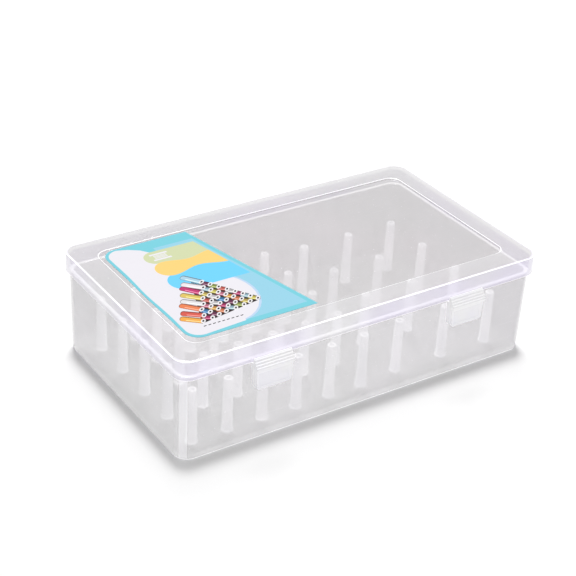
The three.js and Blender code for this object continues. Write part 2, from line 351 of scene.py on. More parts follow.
@dataclass(frozen=True)
class ClearPlastic:
    """Clear moulded plastic, which hides a little of what is behind it, and more at a glance, where
    its colour turns towards its rim colour as a painted reflection; its glow is painted light.
    """

    name: str
    tint: Colour
    blush: Colour
    cover: float
    glancing_cover: float
    # Glow is painted light: the plastic gives off its own colour though it is no lamp.
    glow: float = 0.0
    shade: float = 0.15
    foot_shade: float = 0.15
    foot_height: float = 28 * MM
    foot_share: float = 0.4
    roughness: float = 0.12
    relief: Point = (0.012, 1 * MM)
    glance: float = 3.2
    dust_tint: float = 0.5
    scratch_roughness: float = 0.04
    mark_cover: float = 0.012
    index: float = 1.55
    gloss: float = 0.8
    # The colour that faces turn towards as they turn from the eye: a painted reflection.
    rim: Colour = WHITE

    def build(self, effects: Effects) -> bpy.types.Material:
        """Builds the material.

        Args:
            effects: The shared node groups.

        Returns:
            The material.
        """
        graph = MaterialGraph(self.name)
        rim = rgba(self.rim)
        tint = graph.group(effects.blush, {"Tint": rgba(self.tint), "Blush": rgba(self.blush)})
        moulding = graph.group(effects.moulding)
        scratches, dust = graph.group(effects.handling)
        glance = graph.math("POWER", graph.facing(), self.glance)
        dusty = graph.mix(graph.math("MULTIPLY", dust, self.dust_tint), tint[0], rim)
        # Painted reflection: the colour turns towards the rim colour as the face turns from the
        # eye.
        base = graph.mix(glance, dusty, rim)
        rough = graph.spread(moulding["Haze"], self.roughness * 0.7, self.roughness * 1.6)
        rough = graph.plus(rough, scratches, self.scratch_roughness)
        cover = graph.spread(glance, self.cover, self.glancing_cover)
        marks = graph.math("ADD", scratches, dust)
        cover = graph.plus(cover, marks, self.mark_cover, clamp=True)
        cover = graph.math("MULTIPLY", cover, graph.seen_once())
        inputs = {
            "Alpha": self._shaded(graph, cover),
            # Painted light: the glow adds the plastic's own colour as emission.
            "Emission Color": base,
            "Emission Strength": self.glow,
            "IOR": self.index,
            "Specular IOR Level": self.gloss,
        }
        return graph.finish(base, rough, moulding["Height"], self.relief, inputs)

    def _shaded(self, graph: MaterialGraph, cover: Socket) -> Socket:
        """Gives the plastic its own cover for light on its way through, and more near the floor.

        Args:
            graph: The material's graph.
            cover: The cover that the eye sees.

        Returns:
            The cover for every kind of ray.
        """
        height = graph.add("ShaderNodeSeparateXYZ", {"Vector": graph.place()}).outputs["Z"]
        start = self.foot_height * self.foot_share
        fade = graph.spread(height, self.foot_shade, self.shade, start, self.foot_height)
        light_cover = graph.math("MULTIPLY", fade, graph.seen_once())
        values = {0: graph.passing(), 2: cover, 3: light_cover}
        return graph.add("ShaderNodeMix", values, data_type="FLOAT").outputs[0]


@dataclass(frozen=True)
class SolidPlastic:
    """Milky or white moulded plastic, whose colour turns white at a glance as a painted sheen, and
    whose glow is painted light.
    """

    name: str
    tint: Colour
    blush: Colour
    cover: float
    roughness: float
    # Glow is painted light: emission of the plastic's own colour.
    glow: float
    shade: float
    edge_cover: float = 0.25
    glance: float = 2.0
    scratch_roughness: float = 0.1
    relief: Point = (0.1, 0.5 * MM)
    index: float = 1.5

    def build(self, effects: Effects) -> bpy.types.Material:
        """Builds the material.

        Args:
            effects: The shared node groups.

        Returns:
            The material.
        """
        graph = MaterialGraph(self.name)
        tints = {"Tint": rgba(self.tint), "Blush": rgba(self.blush), "Patch Scale": 60.0}
        tint = graph.group(effects.blush, tints)
        moulding = graph.group(effects.moulding, {"Wave Scale": 180.0, "Flow Scale": 420.0})
        scratches, _ = graph.group(effects.handling)
        rough = graph.spread(moulding["Haze"], self.roughness * 0.8, self.roughness * 1.4)
        rough = graph.plus(rough, scratches, self.scratch_roughness)
        facing = graph.facing()
        # Painted sheen: the colour turns white as the face turns from the eye.
        base = graph.mix(graph.math("POWER", facing, self.glance), tint[0], rgba(WHITE))
        cover = graph.spread(facing, self.cover, min(1.0, self.cover + self.edge_cover))
        cover = graph.math("MULTIPLY", cover, graph.spread(graph.passing(), 1.0, self.shade))
        inputs = {
            "Alpha": graph.math("MULTIPLY", cover, graph.seen_once()),
            # Painted light: the glow adds the colour as emission.
            "Emission Color": base,
            "Emission Strength": self.glow,
            "IOR": self.index,
        }
        return graph.finish(base, rough, moulding["Height"], self.relief, inputs)


@dataclass(frozen=True)
class PrintedCard:
    """Glossy laminated card whose inks are stored on its faces."""

    name: str = "printed_card"
    ink: str = "ink"
    dust: Colour = (0.93, 0.95, 0.97)
    dust_tint: float = 0.12
    roughness: float = 0.22
    relief: Point = (0.35, 1 * MM)
    light_cover: float = 0.015
    gloss: float = 0.3
    coat_roughness: float = 0.08

    def build(self, effects: Effects) -> bpy.types.Material:
        """Builds the material.

        Args:
            effects: The shared node groups.

        Returns:
            The material.
        """
        graph = MaterialGraph(self.name)
        ink = graph.add("ShaderNodeAttribute", attribute_name=self.ink).outputs["Color"]
        waves = {"Wave Scale": 55.0, "Flow Scale": 90.0, "Flow Share": 0.8}
        moulding = graph.group(effects.moulding, waves)
        _, dust = graph.group(effects.handling, {"Dust Scale": 1500.0})
        base = graph.mix(graph.math("MULTIPLY", dust, self.dust_tint), ink, rgba(self.dust))
        rough = graph.spread(moulding["Haze"], self.roughness * 0.7, self.roughness * 1.5)
        inputs = {
            "Alpha": graph.spread(graph.passing(), 1.0, self.light_cover),
            "Coat Weight": self.gloss,
            "Coat Roughness": self.coat_roughness,
            "Specular IOR Level": self.gloss,
        }
        return graph.finish(base, rough, moulding["Height"], self.relief, inputs)


class Finishes:
    """Every finish of the box, built once."""

    def __init__(self) -> None:
        """Builds the shared effects and then the materials."""
        effects = Effects()
        wall = ((0.53, 0.515, 0.53), (0.58, 0.55, 0.59), 0.43, 0.97)
        self.wall = ClearPlastic("clear_wall", *wall, shade=0.08, foot_shade=1.0).build(effects)
        self.inner = ClearPlastic(
            "clear_inner_wall", *wall, shade=0.08, foot_shade=0.08
        ).build(effects)
        self.floor = ClearPlastic(
            "clear_floor", (0.54, 0.535, 0.54), (0.58, 0.565, 0.58), 0.42, 0.7,
            shade=0.06, foot_shade=0.06,
        ).build(effects)
        # Painted shade: the panel is a darker copy of the lid's clear plastic, standing in for the
        # dim inside of the box seen through it.
        self.panel = ClearPlastic(
            "clear_panel_painted_shade", (0.39, 0.368, 0.38), (0.425, 0.385, 0.405), 0.52, 0.95,
            shade=0.06, roughness=0.16,
        ).build(effects)
        self.border = ClearPlastic(
            "clear_border", (0.5, 0.485, 0.505), (0.54, 0.505, 0.54), 0.57, 0.95,
            shade=0.06, roughness=0.16,
        ).build(effects)
        # Painted light: a lighter copy of the clear plastic with a faint glow, for the bright band
        # of the lid's outer wall.
        self.skirt = ClearPlastic(
            "clear_skirt_painted_light", (0.82, 0.805, 0.84), (0.78, 0.72, 0.92), 0.62, 0.8,
            glow=0.04, shade=0.08, rim=(0.86, 0.84, 0.92),
        ).build(effects)
        # Painted highlight: white, nearly opaque and glowing, so that the rounded edges that take
        # it read as bright lines.
        self.edge = ClearPlastic(
            "clear_edge_painted_highlight", WHITE, (0.98, 0.97, 1.0), 0.8, 1.0,
            glow=0.4, shade=0.1, foot_shade=1.0,
        ).build(effects)
        # Painted highlight: near white and glowing, for the thin bright line round the sunken
        # panel.
        self.fine_edge = ClearPlastic(
            "clear_fine_edge_painted_highlight", (0.95, 0.94, 0.96), (0.92, 0.9, 0.95), 0.75, 0.95,
            glow=0.32, shade=0.06,
        ).build(effects)
        # Painted light: a lighter copy of the clear plastic with a glow, which keeps the hinges
        # pale.
        self.hinge = ClearPlastic(
            "clear_hinge_painted_light", (0.8, 0.79, 0.81), (0.84, 0.82, 0.87), 0.3, 0.85,
            glow=0.25, shade=0.05,
        ).build(effects)
        # Painted highlight: a lighter, glowing copy of the clear plastic on the rounded corners,
        # the foot's rounding and the latch seats.
        self.corner = ClearPlastic(
            "clear_corner_painted_highlight", (0.86, 0.85, 0.88), (0.88, 0.85, 0.93), 0.55, 0.97,
            glow=0.1, shade=0.08, foot_shade=1.0,
        ).build(effects)
        # The posts' glow is painted light that keeps them bright behind the walls.
        self.post = SolidPlastic(
            "milky_post", (0.92, 0.91, 0.93), (0.87, 0.865, 0.89), 0.92, 0.35,
            glow=0.42, shade=0.2,
        ).build(effects)
        # The glow of both latch finishes is painted light.
        self.latch = SolidPlastic(
            "white_latch", (0.96, 0.955, 0.97), (0.93, 0.92, 0.97), 0.97, 0.38,
            glow=0.06, shade=0.12,
        ).build(effects)
        self.latch_panel = SolidPlastic(
            "white_latch_panel", (0.9, 0.895, 0.91), (0.86, 0.85, 0.91), 0.8, 0.4,
            glow=0.1, shade=0.12,
        ).build(effects)
        self.card = PrintedCard().build(effects)


# ---------------------------------------------------------------- modelling


def deselect() -> None:
    """Deselects every object."""
    bpy.ops.object.select_all(action="DESELECT")


def focus(piece: Piece) -> None:
    """Makes a piece the only one that operators act on.

    Args:
        piece: A mesh object or a curve.
    """
    deselect()
    piece.select_set(True)
    bpy.context.view_layer.objects.active = piece


def adopt(name: str, scale: Sequence[float] = (1, 1, 1)) -> Piece:
    """Names the primitive that was just added and moves its place into its mesh.

    Args:
        name: Its name.
        scale: Its size along its own axes.

    Returns:
        The new piece.
    """
    piece = bpy.context.object
    piece.name = name
    piece.scale = scale
    focus(piece)
    bpy.ops.object.transform_apply(location=True, rotation=True, scale=True)
    return piece


def plate(name: str, size: Sequence[float], centre: Vector, tilt: float = 0.0) -> Piece:
    """Adds a flat rectangle.

    Args:
        name: The object's name.
        size: Its length along its own x and y.
        centre: Its middle.
        tilt: How far it is turned about x, in radians.

    Returns:
        The new object.
    """
    deselect()
    bpy.ops.mesh.primitive_plane_add(size=1, location=centre, rotation=(tilt, 0, 0))
    return adopt(name, (*size, 1))


def rod(
    name: str, radius: float, depth: float, centre: Vector, sides: int,
    along_x: bool = True, ends: bool = True,
) -> Piece:
    """Adds a round bar.

    Args:
        name: The object's name.
        radius: Its radius.
        depth: Its length.
        centre: Its middle.
        sides: How many sides it has.
        along_x: Whether it lies along x, and not upright.
        ends: Whether its ends are closed.

    Returns:
        The new object.
    """
    deselect()
    bpy.ops.mesh.primitive_cylinder_add(
        vertices=sides,
        radius=radius,
        depth=depth,
        end_fill_type="NGON" if ends else "NOTHING",
        location=centre,
        rotation=(0, math.pi / 2 if along_x else 0, 0),
    )
    return adopt(name)


class Shaping:
    """Edit mode on one piece, with faces and edges picked by their place."""

    def __init__(self, piece: Piece) -> None:
        """Keeps the piece to shape."""
        self.piece = piece

    def __enter__(self) -> "Shaping":
        """Opens edit mode.

        Returns:
            Itself.
        """
        focus(self.piece)
        bpy.ops.object.mode_set(mode="EDIT")
        return self

    def __exit__(self, *_: object) -> None:
        """Closes edit mode."""
        bpy.ops.object.mode_set(mode="OBJECT")

    def _pick(self, mode: str, test: Callable) -> None:
        """Selects the elements of one kind that pass a test.

        Args:
            mode: VERT, EDGE or FACE.
            test: Says whether an element is wanted.
        """
        bpy.ops.mesh.select_mode(type=mode)
        bpy.ops.mesh.select_all(action="DESELECT")
        mesh = bmesh.from_edit_mesh(self.piece.data)
        for element in {"VERT": mesh.verts, "EDGE": mesh.edges, "FACE": mesh.faces}[mode]:
            if test(element):
                element.select_set(True)
        mesh.select_flush_mode()
        bmesh.update_edit_mesh(self.piece.data)

    def verts(self, test: Callable[[bmesh.types.BMVert], bool]) -> None:
        """Selects vertices by a test."""
        self._pick("VERT", test)

    def edges(self, test: Callable[[Edge], bool]) -> None:
        """Selects edges by a test."""
        self._pick("EDGE", test)

    def faces(self, test: Callable[[Face], bool]) -> None:
        """Selects faces by a test."""
        self._pick("FACE", test)

    def face_at(self, height: float, up: bool) -> None:
        """Selects the biggest level face at a height.

        Args:
            height: The face's height.
            up: Whether it faces up.
        """
        way = 1 if up else -1
        level = [
            face
            for face in bmesh.from_edit_mesh(self.piece.data).faces
            if face.normal.z * way > LEVEL
            and abs(face.calc_center_median().z - height) < SAME_HEIGHT
        ]
        index = max(level, key=lambda face: face.calc_area()).index
        self.faces(lambda face: face.index == index)

    def raise_outline(self, corner: float, steps: int, height: float) -> None:
        """Rounds the corners of a flat rectangle and raises it.

        Args:
            corner: The corners' radius.
            steps: How many steps each corner has.
            height: How far it is raised.
        """
        self.verts(lambda _: True)
        self.bevel(corner, steps, corners=True)
        self.faces(lambda _: True)
        self.extrude(z=height)

    @staticmethod
    def extrude(y: float = 0.0, z: float = 0.0) -> None:
        """Extrudes the selection by an offset."""
        bpy.ops.mesh.extrude_region_move(TRANSFORM_OT_translate={"value": (0, y, z)})

    @staticmethod
    def inset(thickness: float) -> None:
        """Insets the selected faces."""
        bpy.ops.mesh.inset(thickness=thickness, depth=0)

    @staticmethod
    def resize(x: float, y: float, z: float, centre: Vector) -> None:
        """Scales the selection about a point."""
        bpy.ops.transform.resize(value=(x, y, z), center_override=centre)

    @staticmethod
    def push(y: float) -> None:
        """Moves the selection back."""
        bpy.ops.transform.translate(value=(0, y, 0))

    @staticmethod
    def bevel(width: float, segments: int, material: int = -1, corners: bool = False) -> None:
        """Rounds the selected edges, or the corners of a flat outline.

        Args:
            width: The size of the rounding.
            segments: How many steps it has.
            material: The slot that its faces take, or -1 for that of their neighbours.
            corners: Whether vertices are rounded, and not edges.
        """
        bpy.ops.mesh.bevel(
            offset=width,
            segments=segments,
            profile=0.5,
            affect="VERTICES" if corners else "EDGES",
            material=material,
        )

    @staticmethod
    def turn_out() -> None:
        """Turns every face outwards."""
        bpy.ops.mesh.select_all(action="SELECT")
        bpy.ops.mesh.normals_make_consistent(inside=False)

    def tidy(self) -> None:
        """Merges doubles and turns every face outwards."""
        bpy.ops.mesh.select_mode(type="VERT")
        bpy.ops.mesh.select_all(action="SELECT")
        bpy.ops.mesh.remove_doubles(threshold=0.001 * MM)
        self.turn_out()

    def paint(self, slot: int, test: Callable[[Face], bool]) -> None:
        """Gives faces another material slot.

        Args:
            slot: The slot's number.
            test: Says which faces take it.
        """
        for face in bmesh.from_edit_mesh(self.piece.data).faces:
            if test(face):
                face.material_index = slot
        bmesh.update_edit_mesh(self.piece.data)


def sharp(edge: Edge) -> bool:
    """Returns whether two faces meet at an angle."""
    return edge.calc_face_angle(0.0) > EDGE_TURN


def crease_at(height: float) -> Callable[[Edge], bool]:
    """Looks for the level edges at a height where two faces meet at an angle.

    Args:
        height: The edges' height.

    Returns:
        A test for one edge.
    """
    return lambda edge: sharp(edge) and all(
        abs(vert.co.z - height) < SAME_HEIGHT for vert in edge.verts
    )


def dress(piece: Piece, materials: Iterable[bpy.types.Material]) -> Piece:
    """Gives a piece its materials, before faces are put in their slots.

    Args:
        piece: A mesh object.
        materials: Its materials, in the order of its slots.

    Returns:
        The piece.
    """
    for material in materials:
        piece.data.materials.append(material)
    return piece


def finish_piece(piece: Piece, body: Body) -> Piece:
    """Smooths a piece and puts it on its body.

    Args:
        piece: The finished mesh object.
        body: The body that it rides on.

    Returns:
        The piece.
    """
    focus(piece)
    bpy.ops.object.shade_smooth_by_angle(angle=SMOOTH_TURN)
    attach(piece, body.value)
    LOG.info("built %s with %d faces", piece.name, len(piece.data.polygons))
    return piece


def join(pieces: Sequence[Piece], name: str) -> Piece:
    """Joins several objects into the first.

    Args:
        pieces: The objects.
        name: The joined object's name.

    Returns:
        The joined object.
    """
    focus(pieces[0])
    for piece in pieces:
        piece.select_set(True)
    bpy.ops.object.join()
    pieces[0].name = name
    return pieces[0]


def stamp(piece: Piece, name: str, offset: Vector) -> Piece:
    """Copies a piece with its own mesh.

    Args:
        piece: The piece to copy.
        name: The copy's name.
        offset: How far away the copy lies.

    Returns:
        The copy.
    """
    copy = piece.copy()
    copy.data = piece.data.copy()
    copy.name = name
    bpy.context.scene.collection.objects.link(copy)
    copy.data.transform(Matrix.Translation(offset))
    return copy


def thicken(piece: Piece, thickness: float, even: bool = False) -> None:
    """Gives a sheet its wall, on its inner side.

    Args:
        piece: The sheet.
        thickness: The wall's thickness.
        even: Whether the wall stays as thick at its bends.
    """
    wall = piece.modifiers.new("wall", "SOLIDIFY")
    wall.thickness = thickness
    wall.offset = -1
    wall.use_even_offset = even
    focus(piece)
    bpy.ops.object.modifier_apply(modifier=wall.name)


def block(
    name: str, size: Vector, foot: Vector, rounding: tuple[float, int], materials: Materials
) -> Piece:
    """Models a block with rounded edges.

    Args:
        name: Its name.
        size: Its size.
        foot: The middle of its underside.
        rounding: The size of the rounding and its steps.
        materials: Its one material.

    Returns:
        The block.
    """
    piece = dress(plate(name, size.xy, foot), materials)
    with Shaping(piece) as shape:
        shape.faces(lambda _: True)
        shape.extrude(z=size.z)
        shape.tidy()
        shape.edges(sharp)
        shape.bevel(*rounding)
    return piece


def middle_of(node: str) -> Vector:
    """Returns the middle of a node's box."""
    low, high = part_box(node)
    return (low + high) / 2


# ---------------------------------------------------------------- the box


@dataclass
class BoxPlan:
    """The places and sizes that the pieces share, read from the frame where it has them."""

    catch_depth: float = 0.5 * MM
    depth: float = 141 * MM
    lid_height: float = 12 * MM
    rim_rise: float = 1 * MM
    tray_inset: float = 1.65 * MM
    pivot_drop: float = 14.3 * MM
    pivot_reach: float = 0.6 * MM
    length: float = field(init=False)
    front: float = field(init=False)
    top: float = field(init=False)
    seam: float = field(init=False)
    middle: Vector = field(init=False)

    def __post_init__(self) -> None:
        """Reads the lid's box."""
        low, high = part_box("lid")
        self.length = high.x - low.x
        self.front = low.y + self.catch_depth
        self.top = high.z
        self.seam = self.top - self.lid_height
        self.middle = Vector((0, self.front + self.depth / 2, 0))

    @property
    def back(self) -> float:
        """The y of the lid's back face."""
        return self.front + self.depth

    def pivot(self, node: str) -> Vector:
        """Returns the middle of the bar that a latch turns on."""
        y, z = self.front - self.pivot_reach, self.seam - self.pivot_drop
        return Vector((middle_of(node).x, y, z))

    def beyond(self, place: Vector, inset: float) -> bool:
        """Returns whether a place lies less than an inset from the lid's outline."""
        away = place - self.middle
        return abs(away.x) > self.length / 2 - inset or abs(away.y) > self.depth / 2 - inset


class TraySlot(IntEnum):
    """The tray's material slots."""

    WALL = 0
    # Painted highlight on the rim's top and its rounded edge.
    EDGE = 1
    FLOOR = 2
    # Painted highlight on the upright corners and the foot's rounding.
    CORNER = 3
    INNER = 4


@dataclass
class Tray:
    """The deep lower shell, with its floor and thickened rim."""

    plan: BoxPlan
    draft: float = 0.4 * MM
    wall: float = 1.5 * MM
    floor: float = 1.8 * MM
    rim_width: float = 2.4 * MM
    rim_depth: float = 2.5 * MM
    corner: float = 9 * MM
    corner_steps: int = 12
    corner_turn: Point = (0.5, 0.87)
    fillet: float = 1.5 * MM
    fillet_turn: Point = (-0.8, -0.15)
    rim_rounding: float = 0.35 * MM
    step_rounding: float = 0.4 * MM

    def build(self, finishes: Finishes) -> list[Piece]:
        """Models and dresses the tray.

        Args:
            finishes: The box's finishes.

        Returns:
            Its pieces.
        """
        shell = self._shell(
            (finishes.wall, finishes.edge, finishes.floor, finishes.corner, finishes.inner)
        )
        finish_piece(shell, Body.TRAY)
        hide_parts("tray")
        return [shell]

    def _shell(self, materials: Materials) -> Piece:
        """Raises the outline, hollows it and rounds its edges.

        Args:
            materials: Its materials, in the order of TraySlot.

        Returns:
            The shell.
        """
        plan = self.plan
        rim = plan.seam + plan.rim_rise
        step = self.rim_width - self.wall
        foot = [side - 2 * (plan.tray_inset + self.draft) for side in (plan.length, plan.depth)]
        hollow = [side + 2 * self.draft - 2 * self.rim_width for side in foot]
        shell = dress(plate("tray_shell", foot, plan.middle), materials)
        with Shaping(shell) as shape:
            shape.raise_outline(self.corner, self.corner_steps, rim)
            shape.face_at(rim, up=True)
            shape.resize(*[(side + 2 * self.draft) / side for side in foot], 1, plan.middle)
            shape.inset(self.rim_width)
            shape.extrude(z=-self.rim_depth)
            shape.extrude(z=-step)
            shape.resize(*[(side + 2 * step) / side for side in hollow], 1, plan.middle)
            shape.extrude(z=self.floor + self.rim_depth + step - rim)
            shape.resize(*[(side - 2 * self.draft) / side for side in hollow], 1, plan.middle)
            shape.tidy()
            self._paint(shape)
            shape.edges(crease_at(0))
            shape.bevel(self.fillet, 6)
            # The foot's rounding takes the corner's painted highlight.
            shape.paint(TraySlot.CORNER, self._on_fillet)
            shape.edges(crease_at(self.floor))
            shape.bevel(self.fillet, 4)
            shape.edges(crease_at(rim))
            # The rim's rounded edge takes the painted highlight.
            shape.bevel(self.rim_rounding, 2, TraySlot.EDGE)
            shape.edges(crease_at(rim - self.rim_depth))
            shape.bevel(self.step_rounding, 2)
        return shell

    def _paint(self, shape: Shaping) -> None:
        """Puts the faces in their slots, before the edges are rounded.

        Args:
            shape: The tray in edit mode.
        """
        low, high = self.corner_turn
        floor_top = self.floor + SAME_HEIGHT
        shape.paint(
            TraySlot.FLOOR,
            lambda face: abs(face.normal.z) > LEVEL and face.calc_center_median().z < floor_top,
        )
        # The rim's top face takes the painted highlight of the edges.
        shape.paint(
            TraySlot.EDGE,
            lambda face: face.normal.z > LEVEL and face.calc_center_median().z > self.plan.seam,
        )
        # The rounded upright corners take a painted highlight.
        shape.paint(
            TraySlot.CORNER,
            lambda face: abs(face.normal.z) < 1 - LEVEL and low < abs(face.normal.x) < high,
        )
        shape.paint(TraySlot.INNER, self._inside)

    def _inside(self, face: Face) -> bool:
        """Returns whether an upright face looks inwards."""
        outwards = face.calc_center_median() - self.plan.middle
        return abs(face.normal.z) < 0.5 and outwards.xy.dot(face.normal.xy) < 0

    def _on_fillet(self, face: Face) -> bool:
        """Returns whether a face lies on the rounding of the foot."""
        low, high = self.fillet_turn
        return low < face.normal.z < high and face.calc_center_median().z < self.fillet


class LidSlot(IntEnum):
    """The lid's material slots."""

    PANEL = 0
    # Painted highlight on the top edge's rounding and the lip.
    EDGE = 1
    SKIRT = 2
    BORDER = 3
    # Painted highlight on the panel's edge.
    FINE_EDGE = 4


@dataclass
class Lid:
    """The shallow upper shell: skirt, flat border and sunken panel."""

    plan: BoxPlan
    lip: float = 1.3 * MM
    wall: float = 2.5 * MM
    panel: float = 1.5 * MM
    border: float = 14.4 * MM
    sink: float = 0.8 * MM
    corner: float = 8.8 * MM
    corner_steps: int = 12
    top_fillet: float = 1.3 * MM
    top_turn: Point = (0.45, 0.9)
    skirt_turn: float = 0.3
    lip_rounding: float = 0.35 * MM
    under_rounding: float = 0.6 * MM
    panel_rounding: float = 0.3 * MM
    sink_rounding: float = 0.15 * MM

    def build(self, finishes: Finishes) -> list[Piece]:
        """Models and dresses the lid.

        Args:
            finishes: The box's finishes.

        Returns:
            Its pieces.
        """
        shell = self._shell(
            (finishes.panel, finishes.edge, finishes.skirt, finishes.border, finishes.fine_edge)
        )
        finish_piece(shell, Body.LID)
        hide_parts("lid")
        return [shell]

    def _shell(self, materials: Materials) -> Piece:
        """Raises the outline, sinks the panel and hollows the underside.

        Args:
            materials: Its materials, in the order of LidSlot.

        Returns:
            The shell.
        """
        plan = self.plan
        size = (plan.length, plan.depth)
        under = plan.top - self.panel
        shell = dress(plate("lid_shell", size, plan.middle + Vector((0, 0, plan.seam))), materials)
        with Shaping(shell) as shape:
            shape.raise_outline(self.corner, self.corner_steps, plan.lid_height)
            shape.face_at(plan.top, up=True)
            self._sink_panel(shape, size, 0.0)
            shape.turn_out()
            shape.face_at(plan.seam, up=False)
            shape.inset(self.lip)
            shape.extrude(z=plan.rim_rise)
            shape.inset(self.wall - self.lip)
            shape.extrude(z=under - plan.seam - plan.rim_rise)
            self._sink_panel(shape, [side - 2 * self.wall for side in size], self.panel)
            shape.tidy()
            shape.paint(LidSlot.SKIRT, self._on_skirt)
            shape.paint(LidSlot.BORDER, self._on_border)
            self._round_top(shape)
            shape.edges(crease_at(plan.seam))
            # The lip's rounded edge takes the painted highlight.
            shape.bevel(self.lip_rounding, 2, LidSlot.EDGE)
            shape.edges(crease_at(under))
            shape.bevel(self.under_rounding, 2)
        return shell

    def _sink_panel(self, shape: Shaping, size: Sequence[float], behind: float) -> None:
        """Steps the selected face in to the panel's outline and then down.

        Args:
            shape: The lid in edit mode, with the level face selected.
            size: The face's length and depth.
            behind: How much wider than the panel the step is.
        """
        plan = self.plan
        inner = [side - 2 * (self.border - behind) for side in (plan.length, plan.depth)]
        shape.extrude()
        shape.resize(inner[0] / size[0], inner[1] / size[1], 1, plan.middle)
        shape.extrude(z=-self.sink)
        shape.resize(*[(side - 2 * self.sink) / side for side in inner], 1, plan.middle)

    def _on_skirt(self, face: Face) -> bool:
        """Returns whether an upright face lies on the lid's outer wall."""
        upright = abs(face.normal.z) < self.skirt_turn
        return upright and self.plan.beyond(face.calc_center_median(), self.corner)

    def _on_border(self, face: Face) -> bool:
        """Tells the flat border round the panel.

        Args:
            face: A face of the lid.

        Returns:
            Whether it lies on the border.
        """
        middle = face.calc_center_median()
        high = middle.z > self.plan.seam + self.plan.lid_height / 2
        return high and abs(face.normal.z) > LEVEL and self.plan.beyond(middle, self.border)

    def _on_fillet(self, face: Face) -> bool:
        """Tells the upper part of the top edge's rounding, which takes the painted highlight.

        Args:
            face: A face of the lid.

        Returns:
            Whether it lies there.
        """
        middle = face.calc_center_median()
        low, high = self.top_turn
        turned = low < face.normal.z < high and middle.z > self.plan.top - self.top_fillet
        return turned and self.plan.beyond(middle, self.corner)

    def _round_top(self, shape: Shaping) -> None:
        """Rounds the outer top edge broadly and the panel's edge finely, and gives both their
        painted highlight lines.

        Args:
            shape: The lid in edit mode.
        """
        plan = self.plan
        top = crease_at(plan.top)

        def outer(edge: Edge) -> bool:
            """Returns whether an edge runs along the lid's outline."""
            first, second = (vert.co for vert in edge.verts)
            return plan.beyond((first + second) / 2, self.border / 2)

        shape.edges(lambda edge: top(edge) and outer(edge))
        shape.bevel(self.top_fillet, 6, LidSlot.SKIRT)
        shape.paint(LidSlot.EDGE, self._on_fillet)
        shape.edges(lambda edge: top(edge) and not outer(edge))
        # The panel's edge takes a thin painted highlight.
        shape.bevel(self.panel_rounding, 2, LidSlot.FINE_EDGE)
        shape.edges(crease_at(plan.top - self.sink))
        shape.bevel(self.sink_rounding, 2)


@dataclass
class Posts:
    """The upright posts that hold the spools."""

    count: int = 42
    collar: float = 0.8 * MM
    step: float = 0.35 * MM
    top_share: float = 0.84
    bore: float = 1.45 * MM
    bore_depth: float = 9 * MM
    bore_share: float = 0.8
    top_rounding: float = 0.3 * MM
    collar_rounding: float = 0.15 * MM

    def build(self, finishes: Finishes) -> list[Piece]:
        """Models one post and stamps it at every place.

        Args:
            finishes: The box's finishes.

        Returns:
            The posts.
        """
        pattern = dress(self._pattern(), (finishes.post,))
        home = middle_of("spool_post_01")
        posts = []
        for number in range(1, self.count + 1):
            node = f"spool_post_{number:02d}"
            post = stamp(pattern, f"post_{number:02d}", middle_of(node) - home)
            finish_piece(post, Body.TRAY)
            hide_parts(node)
            posts.append(post)
        bpy.data.objects.remove(pattern)
        return posts

    def _pattern(self) -> Piece:
        """Models the first post: a collar, a tapered stem and a bore in its top.

        Returns:
            The post, in the first post's place.
        """
        low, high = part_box("spool_post_01")
        radius = (high.x - low.x) / 2
        centre = (low + high) / 2
        foot = Vector((centre.x, centre.y, low.z + self.collar / 2))
        post = rod("post_pattern", radius, self.collar, foot, BARREL_SIDES, along_x=False)
        with Shaping(post) as shape:
            shape.face_at(low.z + self.collar, up=True)
            shape.inset(self.step)
            shape.extrude(z=high.z - low.z - self.collar)
            shape.resize(self.top_share, self.top_share, 1, centre)
            shape.inset((radius - self.step) * self.top_share - self.bore)
            shape.extrude(z=-self.bore_depth)
            shape.resize(self.bore_share, self.bore_share, 1, centre)
            shape.tidy()
            shape.edges(crease_at(high.z))
            shape.bevel(self.top_rounding, 2)
            shape.edges(crease_at(low.z + self.collar))
            shape.bevel(self.collar_rounding, 2)
        return post


